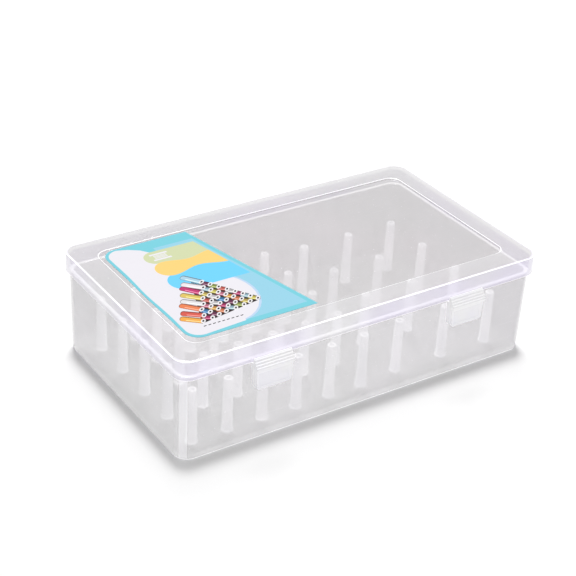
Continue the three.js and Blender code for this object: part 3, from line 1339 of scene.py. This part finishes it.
@dataclass
class Latch:
    """A snap latch: a plate with side flanges and a ridged grip that leans back over the skirt."""

    plan: BoxPlan
    node: str
    body: Body
    plate_reach: float = 4 * MM
    knee_reach: float = 5.4 * MM
    knee_drop: float = 2.7 * MM
    under_knee: float = 1.7 * MM
    chin: Point = (0.2 * MM, 0.8 * MM)
    hook: Point = (1.5 * MM, 0.35 * MM)
    tip: Point = (0.9 * MM, 0.1 * MM)
    foot_width: float = 21.8 * MM
    top_width: float = 24 * MM
    knee_spare: float = 0.1 * MM
    plate_spare: float = 0.6 * MM
    bar_spare: float = 1.2 * MM
    foot_corner: float = 1.5 * MM
    panel_inset: float = 1.5 * MM
    panel_depth: float = 0.35 * MM
    thickness: float = 1 * MM
    rounding: float = 0.25 * MM
    rounded_turn: float = math.radians(40)
    wall_gap: float = 0.6 * MM
    skirt_gap: float = 0.85 * MM
    flange_pull: float = 12 * MM
    ridges: int = 4
    ridge_height: float = 0.32 * MM
    ridge: tuple[Point, ...] = ((0.0, 0.0), (0.15, 0.8), (0.4, 1.0), (0.65, 0.8), (0.82, 0.0))
    bar: float = 0.95 * MM

    def build(self, finishes: Finishes) -> list[Piece]:
        """Models and dresses the latch.

        Args:
            finishes: The box's finishes.

        Returns:
            Its pieces.
        """
        clip = self._clip((finishes.latch, finishes.latch_panel))
        finish_piece(clip, self.body)
        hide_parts(self.node)
        return [clip]

    def _profile(self, knee_width: float, top: float) -> list[tuple[float, float, float]]:
        """Works out the outer face from under the knee to the tip.

        Args:
            knee_width: The latch's width at its knee.
            top: The height of its tip.

        Returns:
            The y, z and width of each step that the strip is extruded to.
        """
        plan = self.plan
        knee = Vector((plan.front - self.knee_reach, plan.seam - self.knee_drop))
        hook = Vector((plan.front - self.hook[0], top - self.hook[1]))
        lean = hook - knee
        outward = Vector((-lean.y, lean.x)).normalized() * self.ridge_height
        points = [(knee.x + self.chin[0], knee.y - self.chin[1], knee_width)]
        for ridge in range(self.ridges):
            for share, lift in self.ridge:
                along = (ridge + share) / self.ridges
                at = knee + lean * along + outward * lift
                points.append((at.x, at.y, knee_width + (self.top_width - knee_width) * along))
        points.append((hook.x, hook.y, self.top_width))
        points.append((plan.front - self.tip[0], top - self.tip[1], self.top_width))
        return points

    def _clip(self, materials: Materials) -> Piece:
        """Extrudes the outer face along its profile, folds the flanges back and thickens it.

        Args:
            materials: The materials of the latch and of the panel in its plate.

        Returns:
            The latch.
        """
        low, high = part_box(self.node)
        middle = (low.x + high.x) / 2
        front = self.plan.front - self.plate_reach
        knee = self.plan.seam - self.knee_drop - self.under_knee
        height = knee - low.z
        centre = Vector((middle, front, low.z + height / 2))
        widest = high.x - low.x - self.knee_spare
        width = widest - self.plate_spare
        clip = plate(f"{self.node}_clip", (self.foot_width, height), centre, math.pi / 2)
        with Shaping(dress(clip, materials)) as shape:
            shape.verts(lambda vert: vert.co.z > centre.z)
            shape.resize(width / self.foot_width, 1, 1, centre)
            last = Vector((front, knee))
            for y, z, wanted in self._profile(widest, high.z):
                shape.edges(
                    lambda edge, at=last: all(
                        (Vector(vert.co.yz) - at).length < SAME_PLACE for vert in edge.verts
                    )
                )
                shape.extrude(y=y - last.x, z=z - last.y)
                shape.resize(wanted / width, 1, 1, centre)
                width = wanted
                last = Vector((y, z))
            shape.verts(lambda vert: vert.co.z < low.z + SAME_HEIGHT)
            shape.bevel(self.foot_corner, 5, corners=True)
            self._fold_flanges(shape, middle)
            shape.tidy()
            shape.faces(
                lambda face: abs(face.normal.y) > 0.99 and face.calc_center_median().z < knee
            )
            shape.inset(self.panel_inset)
            shape.push(self.panel_depth)
            shape.paint(1, lambda face: face.select)
        thicken(clip, self.thickness, even=True)
        self._round(clip)
        bar_length = self.foot_width - self.bar_spare
        bar = rod("latch_bar", self.bar, bar_length, self.plan.pivot(self.node), ROD_SIDES)
        return join((clip, dress(bar, materials)), f"{self.node}_clip")

    def _fold_flanges(self, shape: Shaping, middle: float) -> None:
        """Extrudes the side edges back, up to the tray's wall and the lid's skirt.

        Args:
            shape: The latch in edit mode.
            middle: The x of its middle.
        """
        plan = self.plan
        wall = Vector((middle, plan.front + plan.tray_inset - self.wall_gap, plan.seam))
        skirt = Vector((middle, plan.front - self.skirt_gap, plan.seam))

        def on_side(edge: Edge) -> bool:
            """Returns whether an edge bounds the strip on one side."""
            first, second = (vert.co.x - middle for vert in edge.verts)
            return edge.is_boundary and first * second > 0

        def behind(vert: bmesh.types.BMVert) -> bool:
            """Returns whether a vertex is still as far back as it was pulled."""
            return vert.co.y > plan.front + self.flange_pull / 4

        shape.edges(on_side)
        shape.extrude(y=self.flange_pull)
        shape.verts(lambda vert: behind(vert) and vert.co.z < plan.seam - self.wall_gap)
        shape.resize(1, 0, 1, wall)
        shape.verts(behind)
        shape.resize(1, 0, 1, skirt)

    def _round(self, clip: Piece) -> None:
        """Rounds the thickened sheet's edges.

        Args:
            clip: The thickened sheet.
        """
        rounding = clip.modifiers.new("rounding", "BEVEL")
        rounding.width = self.rounding
        rounding.segments = 3
        rounding.limit_method = "ANGLE"
        rounding.angle_limit = self.rounded_turn
        bpy.ops.object.modifier_apply(modifier=rounding.name)


@dataclass
class LatchSeats:
    """What each latch works on: two open ears on the tray for its bar, and a catch on the lid."""

    plan: BoxPlan
    spacing: float = 11 * MM
    ear_radius: float = 1.8 * MM
    ear_width: float = 3 * MM
    bore: float = 1.1 * MM
    mouth: float = math.radians(70)
    wall_reach: float = 2.2 * MM
    web_gap: float = 0.2 * MM
    web_share: float = 0.8
    web_rounding: tuple[float, int] = (0.15 * MM, 2)
    catch_width: float = 16 * MM
    catch_height: float = 1.2 * MM
    catch_rise: float = 0.9 * MM
    catch_root: float = 0.4 * MM
    catch_rounding: tuple[float, int] = (0.2 * MM, 3)

    def build(self, finishes: Finishes) -> list[Piece]:
        """Models and dresses the ears and the catches.

        Args:
            finishes: The box's finishes.

        Returns:
            Their pieces.
        """
        plan = self.plan
        # The ears and catches take the corner's lighter, glowing finish: a painted highlight.
        materials = (finishes.corner,)
        half = Vector((self.spacing / 2, 0, 0))
        nose = Vector((self.catch_width, plan.catch_depth + self.catch_root, self.catch_height))
        y, z = plan.front + self.catch_root - nose.y / 2, plan.seam + self.catch_rise
        pieces = []
        for node in ("latch_left", "latch_right"):
            axis = plan.pivot(node)
            foot = Vector((axis.x, y, z))
            ears = [*self._ear(axis - half, materials), *self._ear(axis + half, materials)]
            pieces.append(finish_piece(join(ears, f"{node}_ears"), Body.TRAY))
            catch = block(f"{node}_catch", nose, foot, self.catch_rounding, materials)
            pieces.append(finish_piece(catch, Body.LID))
        return pieces

    def _ear(self, axis: Vector, materials: Materials) -> tuple[Piece, Piece]:
        """Models one ear: a ring that is open at the front and a web back to the wall.

        Args:
            axis: The middle of its ring.
            materials: Its one material.

        Returns:
            The ring and the web.
        """
        ring = rod("ring", self.ear_radius, self.ear_width, axis, RING_SIDES, ends=False)
        reach = math.cos(self.mouth / 2) * self.ear_radius
        with Shaping(dress(ring, materials)) as shape:
            shape.faces(lambda face: axis.y - face.calc_center_median().y > reach)
            bpy.ops.mesh.delete(type="FACE")
        thicken(ring, self.ear_radius - self.bore)
        start = axis.y + self.bore + self.web_gap
        end = self.plan.front + self.wall_reach
        half_height = self.ear_radius * self.web_share
        foot = Vector((axis.x, (start + end) / 2, axis.z - half_height))
        size = Vector((self.ear_width, end - start, 2 * half_height))
        return ring, block("web", size, foot, self.web_rounding, materials)


@dataclass
class Hinges:
    """The two hinges behind the box: ears on the tray, a knuckle on the lid and a pin in both."""

    plan: BoxPlan
    radius: float = 2.6 * MM
    ear_width: float = 5 * MM
    ear_root: float = 8 * MM
    ear_sink: float = 2 * MM
    knuckle_width: float = 10 * MM
    knuckle_root: float = 6 * MM
    knuckle_sink: float = 0.4 * MM
    end_gap: float = 0.3 * MM
    rounding: float = 0.25 * MM
    pin_radius: float = 1 * MM
    pin_spare: float = 0.6 * MM
    pin_rounding: float = 0.3 * MM
    pin_turn: float = math.radians(60)

    def build(self, finishes: Finishes) -> list[Piece]:
        """Models and dresses both hinges.

        Args:
            finishes: The box's finishes.

        Returns:
            Their pieces.
        """
        # The lugs take the hinge's painted light, and their rounded end edges the painted
        # highlight.
        materials = (finishes.hinge, finishes.edge)
        half = Vector(((self.knuckle_width + self.ear_width) / 2 + self.end_gap, 0, 0))
        ear = (self.ear_width, -self.ear_root, self.ear_sink)
        knuckle = (self.knuckle_width, self.knuckle_root, self.knuckle_sink)
        pieces = []
        for side in ("left", "right"):
            node = f"hinge_pin_{side}"
            axis = middle_of(node)
            ears = [self._lug("ear", axis + shift, *ear, materials) for shift in (-half, half)]
            lug = self._lug(f"hinge_knuckle_{side}", axis, *knuckle, materials)
            pieces += [
                finish_piece(join(ears, f"hinge_ears_{side}"), Body.TRAY),
                finish_piece(lug, Body.LID),
                self._pin(node, finishes.hinge),
            ]
        return pieces

    def _lug(
        self,
        name: str,
        axis: Vector,
        width: float,
        root: float,
        sink: float,
        materials: Materials,
    ) -> Piece:
        """Models a barrel with a web that widens to the wall that carries it.

        Args:
            name: Its name.
            axis: The middle of its barrel.
            width: Its width along the pin.
            root: How far up, or down if negative, the web reaches at the wall.
            sink: How far the web reaches into the wall.
            materials: The materials of its body and its edges.

        Returns:
            The lug.
        """
        wall = Vector((axis.x, self.plan.back - sink, axis.z))
        lug = dress(rod(name, self.radius, width, axis, BARREL_SIDES), materials)

        def towards_wall(face: Face) -> bool:
            """Returns whether a face is in the quarter that the web grows from."""
            away = face.calc_center_median() - axis
            return abs(face.normal.x) < 0.5 and away.y < 0 and away.z * root > 0

        def across(edge: Edge) -> bool:
            """Returns whether an edge lies in one of the end faces."""
            first, second = (vert.co.x for vert in edge.verts)
            return sharp(edge) and abs(first - second) < SAME_PLACE

        with Shaping(lug) as shape:
            shape.faces(towards_wall)
            shape.extrude()
            shape.resize(1, 0, 1, wall)
            shape.resize(1, 1, abs(root) / self.radius, wall)
            shape.tidy()
            shape.edges(across)
            shape.bevel(self.rounding, 2, 1)
        return lug

    def _pin(self, node: str, material: bpy.types.Material) -> Piece:
        """Models a pin with rounded ends.

        Args:
            node: The pin's node.
            material: Its finish.

        Returns:
            The pin.
        """
        low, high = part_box(node)
        length = high.x - low.x + self.pin_spare
        pin = rod(f"{node}_rod", self.pin_radius, length, (low + high) / 2, ROD_SIDES)
        with Shaping(dress(pin, (material,))) as shape:
            shape.edges(lambda edge: edge.calc_face_angle(0.0) > self.pin_turn)
            shape.bevel(self.pin_rounding, 3)
        finish_piece(pin, Body.TRAY)
        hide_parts(node)
        return pin


# ---------------------------------------------------------------- the card


class Ink(Enum):
    """The inks of the card, as linear colours."""

    CYAN = (0.18, 0.60, 0.70)
    SKY = (0.30, 0.62, 0.77)
    WHITE = (0.80, 0.78, 0.83)
    GREEN = (0.62, 0.67, 0.40)
    AMBER = (0.92, 0.63, 0.19)
    BLUE = (0.15, 0.62, 0.95)
    HALO = (0.50, 0.65, 0.84)
    PAPER = (0.84, 0.82, 0.84)
    DARK = (0.015, 0.012, 0.015)
    SHADE = (0.02, 0.01, 0.012)


SPOOL_INKS: tuple[Colour, ...] = (
    (0.92, 0.42, 0.07),
    (0.70, 0.10, 0.07),
    (0.85, 0.22, 0.08),
    (0.80, 0.78, 0.80),
    (0.75, 0.55, 0.12),
    (0.55, 0.03, 0.17),
    (0.86, 0.80, 0.84),
    (0.42, 0.66, 0.80),
    (0.05, 0.28, 0.60),
    (0.80, 0.66, 0.10),
    (0.20, 0.02, 0.10),
    (0.72, 0.20, 0.30),
    (0.35, 0.42, 0.08),
)


@dataclass(frozen=True)
class Bar:
    """A printed bar: round at the left, slanted at the right, with two bent long edges."""

    low: float
    high: float
    left: float
    low_bend: float
    high_bend: float
    ink: Ink
    level: int


@dataclass(frozen=True)
class Spool:
    """The size of a printed spool, and the layer that it starts on."""

    length: float
    half: float
    shade: float
    level: int


BARS = (
    Bar(79.5, 93.8, 18.8, -4.6, 0.0, Ink.GREEN, 5),
    Bar(64.0, 80.5, 18.4, 4.2, -3.2, Ink.AMBER, 6),
    Bar(46.5, 66.0, 18.0, 0.0, 5.4, Ink.BLUE, 5),
)
FRONT_SPOOL = Spool(11.5, 2.55, 0.95, 9)
BACK_SPOOL = Spool(4.6, 2.1, 0.6, 7)


def arc(centre: Point, size: Point, start: float, sweep: float, steps: int) -> list[Point]:
    """Works out points along a part of an ellipse.

    Args:
        centre: Its middle.
        size: Its half-width and half-height.
        start: The first point's angle, in radians.
        sweep: The angle between the first point and the last.
        steps: How many steps it takes.

    Returns:
        Its points, one more than the steps.
    """
    angles = [start + sweep * step / steps for step in range(steps + 1)]
    return [
        (centre[0] + size[0] * math.cos(angle), centre[1] + size[1] * math.sin(angle))
        for angle in angles
    ]


def oblong(low: Point, high: Point) -> list[Point]:
    """Returns the corners of a rectangle."""
    return [low, (high[0], low[1]), high, (low[0], high[1])]


@dataclass
class Card:
    """The printed card in the lid's panel: a framed field, three bars and a pile of spools.

    What is printed is placed in millimetres from the card's front left corner.
    """

    layer: float = 0.02 * MM
    corner: float = 9.0
    front: float = 80.4
    back: float = 56.5
    wave: float = 0.5
    wave_turn: float = 9.0
    frame: float = 1.7
    patch: Point = (31, 32.5)
    bar_end: float = 4.6
    rows: int = 8
    stitches: int = 9
    origin: Vector = field(init=False)
    size: Vector = field(init=False)
    depth: float = field(init=False)
    pieces: list[Piece] = field(default_factory=list)

    def __post_init__(self) -> None:
        """Reads the card's box."""
        low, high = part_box("label_card")
        self.origin = low
        self.size = high - low
        self.depth = self.size.y / MM

    def build(self, finishes: Finishes) -> list[Piece]:
        """Draws the card layer by layer and joins the layers.

        Args:
            finishes: The box's finishes.

        Returns:
            The card.
        """
        self._sheet()
        self._fields()
        self._bars()
        self._spools()
        self._stitches()
        card = dress(join(self.pieces, "card_print"), (finishes.card,))
        finish_piece(card, Body.LID)
        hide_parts("label_card")
        return [card]

    def _draw(
        self, outline: Sequence[Point], ink: Colour, level: int, thickness: float = 0.0
    ) -> Piece:
        """Draws a filled outline on the card and stores its ink on its faces.

        Args:
            outline: Its points.
            ink: Its colour.
            level: Its layer.
            thickness: How thick it is, in metres, if it isn't a film of ink.

        Returns:
            The shape.
        """
        curve = bpy.data.curves.new("outline", "CURVE")
        curve.dimensions = "2D"
        curve.fill_mode = "BOTH"
        curve.extrude = thickness / 2
        spline = curve.splines.new("POLY")
        spline.points.add(len(outline) - 1)
        for point, (x, y) in zip(spline.points, outline):
            point.co = (x * MM, y * MM, 0, 1)
        spline.use_cyclic_u = True
        drawn = bpy.data.objects.new("print", curve)
        bpy.context.scene.collection.objects.link(drawn)
        focus(drawn)
        bpy.ops.object.convert(target="MESH")
        height = self.size.z + self.layer * level - thickness / 2
        drawn.location = self.origin + Vector((0, 0, height))
        bpy.ops.object.transform_apply(location=True, rotation=True, scale=True)
        inks = drawn.data.color_attributes.new(name="ink", type="FLOAT_COLOR", domain="CORNER")
        inks.data.foreach_set("color", list(rgba(ink)) * len(drawn.data.loops))
        self.pieces.append(drawn)
        return drawn

    def _sheet(self) -> None:
        """Draws the card itself, whose left edge waves a little and whose back is plain."""
        sheet = self._draw(self._outline(0.0), Ink.CYAN.value, 0, thickness=self.size.z)
        inks = sheet.data.color_attributes["ink"].data
        for face in sheet.data.polygons:
            if face.normal.z < -0.5:
                for corner in face.loop_indices:
                    inks[corner].color = rgba(Ink.WHITE.value)

    def _right(self, y: float, inset: float) -> float:
        """Returns how far right the slanted edge is at a depth, less an inset."""
        return self.front + (self.back - self.front) * y / self.depth - inset

    def _outline(self, inset: float) -> list[Point]:
        """Works out the card's outline, whose left edge waves less than what is inside it.

        Args:
            inset: How far inside the card it lies.

        Returns:
            Its points.
        """
        radius = self.corner - inset * 0.6
        near, far = inset + radius, self.depth - inset - radius
        quarter = (radius, radius)
        points = arc((near, near), quarter, math.pi, math.pi / 2, 8)
        points.append((self._right(inset, inset), inset))
        points.append((self._right(self.depth - inset, inset), self.depth - inset))
        points += arc((near, far), quarter, math.pi / 2, math.pi / 2, 8)
        height = self.wave if inset else self.wave / 2
        for step in range(1, 12):
            share = step / 12
            wave = height * math.sin(share * self.wave_turn) * math.sin(share * math.pi)
            points.append((inset + wave, far + (near - far) * share))
        return points

    def _fields(self) -> None:
        """Draws the pale blue field, the round white patch with its halo and the white field."""
        back = self.depth - 9
        sky = [(30, 4), (self._right(4, 3.2), 4), (self._right(back, 2.6), back), (30, back)]
        self._draw(sky, Ink.SKY.value, 1)
        for size, lowest, ink, level in (
            ((27.6, 29.4), 4.0, Ink.HALO, 2),
            ((26.2, 28.2), 4.2, Ink.WHITE, 3),
        ):
            patch = arc(self.patch, size, 0.0, 2 * math.pi, 32)[:-1]
            self._draw([(x, max(lowest, y)) for x, y in patch], ink.value, level)
        left = [point for point in self._outline(self.frame) if point[0] < 24]
        left.sort(key=lambda point: math.atan2(point[1] - self.depth / 2, point[0] - 40) % math.tau)
        right = [(36, 3.4), (40, 30), (36, 60), (28, 80), (27, 92), (22, 98.5), (16, 102.5)]
        self._draw([*right, *left], Ink.WHITE.value, 4)

    def _bars(self) -> None:
        """Draws the three bars, which are pinched together in their middle."""
        for bar in BARS:
            radius = (bar.high - bar.low) / 2
            start = bar.left + radius
            points = arc((start, bar.low + radius), (radius, radius), math.pi / 2, math.pi, 16)
            points += self._bent(bar.low, bar.low_bend, start)
            points += reversed(self._bent(bar.high, bar.high_bend, start))
            self._draw(points, bar.ink.value, bar.level)

    def _bent(self, height: float, bend: float, start: float) -> list[Point]:
        """Works out one long edge of a bar.

        Args:
            height: How far back it lies at both ends.
            bend: How far it swells between them.
            start: Where it leaves the round end.

        Returns:
            Its points, from left to right.
        """
        length = self._right(height, self.bar_end) - start
        shares = [step / 12 for step in range(1, 13)]
        return [
            (start + length * share, height + bend * math.sin(math.pi * share) ** 2)
            for share in shares
        ]

    def _spools(self) -> None:
        """Draws a triangular pile of spools, from the top down, over its own shadow."""
        shadow = [(13, 11.5), (54.5, 18.5), (56, 20.5), (36, 51.5), (30, 53)]
        self._draw(shadow, Ink.SHADE.value, 5)
        for row in reversed(range(self.rows)):
            for column in reversed(range(self.rows - row)):
                front = column == 0
                ink = SPOOL_INKS[row if front else (row * 3 + column * 5) % len(SPOOL_INKS)]
                sway = math.sin(row * 2.3 + column * 1.7)
                x = 15.0 + 2.9 * row + 5.6 * column + 0.5 * sway
                y = 13.5 + 5.2 * row + 0.9 * column - 0.4 * sway
                turn = math.radians(140 - 1.6 * row + 5 * sway)
                self._spool(Vector((x, y)), turn, ink, FRONT_SPOOL if front else BACK_SPOOL)

    def _spool(self, near: Vector, turn: float, ink: Colour, spool: Spool) -> None:
        """Draws one spool: its thread in two tones, a shine and a pale end with a dark hole.

        Args:
            near: The middle of its near end.
            turn: The direction of its far end.
            ink: Its thread's colour.
            spool: Its size.
        """
        way = Vector((math.cos(turn), math.sin(turn)))
        side = Vector((-way.y, way.x)) * spool.half
        far = near + way * spool.length
        for share, depth, lift in ((1.0, 0.35, 0), (0.74, spool.shade, 1)):
            lit = side * (0.5 * (1 - share))
            colour = tuple(part * depth for part in ink)
            self._thread(near + lit, far + lit, spool.half * share, colour, spool.level + lift)
        bright = tuple(min(1.0, part * 1.3 + 0.25) for part in ink)
        shine = side * 0.45
        shine_end = near + way * spool.length * 0.8 + shine
        self._thread(near + shine, shine_end, 0.35, bright, spool.level + 2)
        across = Vector((-way.y, way.x))
        for size, colour, level, steps in (
            ((1.3, 2.45), Ink.PAPER, 13, 14),
            ((0.6, 1.05), Ink.DARK, 14, 10),
        ):
            ring = arc((0, 0), size, 0.0, 2 * math.pi, steps)[:-1]
            points = [tuple(near + way * x + across * y) for x, y in ring]
            self._draw(points, colour.value, level)

    def _thread(self, near: Vector, far: Vector, half: float, ink: Colour, level: int) -> None:
        """Draws a stroke with a round far end.

        Args:
            near: The middle of its near end.
            far: The middle of its far end.
            half: Half its width.
            ink: Its colour.
            level: Its layer.
        """
        way = (far - near).normalized() * half
        side = Vector((-way.y, way.x))
        end = [far + side * x + way * y for x, y in arc((0, 0), (1, 0.6), 0.0, math.pi, 6)]
        self._draw([tuple(point) for point in (near - side, near + side, *end)], ink, level)

    def _stitches(self) -> None:
        """Draws a running stitch under the pile and a plain spool on the green bar."""
        for step in range(self.stitches):
            x = 12.5 + 2.9 * step
            stitch = [(x, 8.4), (x + 1.8, 8.6), (x + 1.8, 9.3), (x, 9.1)]
            self._draw(stitch, Ink.DARK.value, 7)
        flanges = [oblong((23.5, y), (35, y + 1.6)) for y in (83.2, 89.4)]
        threads = [oblong((25.2, y), (33.3, y + 0.8)) for y in (85.4, 86.7, 88.0)]
        for outline in (*flanges, *threads):
            self._draw(outline, Ink.WHITE.value, 7)


# ---------------------------------------------------------------- the studio


def stand(
    data: bpy.types.ID,
    aim: Vector,
    azimuth: float,
    elevation: float,
    away: float,
    roll: float = 0.0,
) -> Piece:
    """Stands a light or a camera where it faces a point.

    Args:
        data: The light or the camera.
        aim: The point.
        azimuth: Its direction from the front, in degrees.
        elevation: How high it stands, in degrees.
        away: Its distance from the point.
        roll: How far it is turned about its own axis, in degrees.

    Returns:
        Its object.
    """
    turn, rise = math.radians(azimuth), math.radians(elevation)
    level = math.cos(rise)
    towards = Vector((math.sin(turn) * level, -math.cos(turn) * level, math.sin(rise)))
    placed = bpy.data.objects.new(data.name, data)
    placed.location = aim + towards * away
    rolled = Matrix.Rotation(math.radians(roll), 3, "Z")
    placed.rotation_euler = (towards.to_track_quat("Z", "Y").to_matrix() @ rolled).to_euler()
    bpy.context.scene.collection.objects.link(placed)
    return placed


@dataclass(frozen=True)
class SoftBox:
    """A soft square light, placed by its direction and distance."""

    name: str
    azimuth: float
    elevation: float
    away: float
    size: float
    power: float

    def build(self, aim: Vector) -> None:
        """Sets up the light.

        Args:
            aim: The point that it faces.
        """
        light = bpy.data.lights.new(self.name, "AREA")
        light.size = self.size
        light.energy = self.power
        stand(light, aim, self.azimuth, self.elevation, self.away)


@dataclass(frozen=True)
class Studio:
    """A plain white floor, soft light and the camera."""

    azimuth: float = -34.73
    elevation: float = 30.42
    roll: float = 3.21
    distance: float = 0.903
    lens: float = 93.26
    sensor: float = 36.0
    aim: Vector = Vector((0.0008, 0.0145, 0.0325))
    sky: float = 0.385
    floor_size: float = 12.0
    floor_drop: float = 0.05 * MM
    floor_colour: Colour = (0.87, 0.87, 0.87)
    floor_roughness: float = 0.9
    floor_glow: float = 0.06
    see_through: int = 48
    boxes: tuple[SoftBox, ...] = (
        SoftBox("back_box", 152.0, 63.0, 1.9, 0.62, 29.5),
        SoftBox("front_box", -20.0, 38.0, 0.9, 0.5, 1.35),
    )

    def build(self) -> None:
        """Builds the floor, the lights and the camera."""
        self._floor()
        self._surroundings()
        for box in self.boxes:
            box.build(self.aim)
        self._camera()
        bpy.context.scene.view_settings.view_transform = "Standard"
        bpy.context.scene.cycles.transparent_max_bounces = self.see_through

    def _floor(self) -> None:
        """Lays the floor just under the object."""
        floor = plate("studio_floor", (self.floor_size,) * 2, Vector((0, 0, -self.floor_drop)))
        graph = MaterialGraph("studio_white")
        inputs = {
            "Base Color": rgba(self.floor_colour),
            "Roughness": self.floor_roughness,
            "Specular IOR Level": 0.0,
            "Emission Color": rgba(WHITE),
            "Emission Strength": self.floor_glow,
        }
        graph.fill(graph.shader, inputs)
        dress(floor, (graph.material,))

    def _surroundings(self) -> None:
        """Sets the white surroundings."""
        world = bpy.data.worlds.new("studio_sky")
        world.use_nodes = True
        graph = Graph(world.node_tree)
        sky = graph.tree.nodes["Background"]
        graph.fill(sky, {"Color": rgba(WHITE), "Strength": self.sky})
        bpy.context.scene.world = world

    def _camera(self) -> None:
        """Places the camera."""
        lens = bpy.data.cameras.new("camera")
        lens.lens = self.lens
        lens.sensor_width = self.sensor
        camera = stand(lens, self.aim, self.azimuth, self.elevation, self.distance, self.roll)
        bpy.context.scene.camera = camera


def main() -> None:
    """Builds the box round its frame."""
    logging.basicConfig(level=logging.INFO, format="%(message)s")
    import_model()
    plan = BoxPlan()
    Studio().build()
    finishes = Finishes()
    parts = (
        Tray(plan),
        Lid(plan),
        Posts(),
        Latch(plan, "latch_left", Body.LATCH_LEFT),
        Latch(plan, "latch_right", Body.LATCH_RIGHT),
        LatchSeats(plan),
        Hinges(plan),
        Card(),
    )
    for part in parts:
        pieces = part.build(finishes)
        LOG.info("%s: %d pieces", type(part).__name__, len(pieces))


if __name__ == "__main__":
    main()
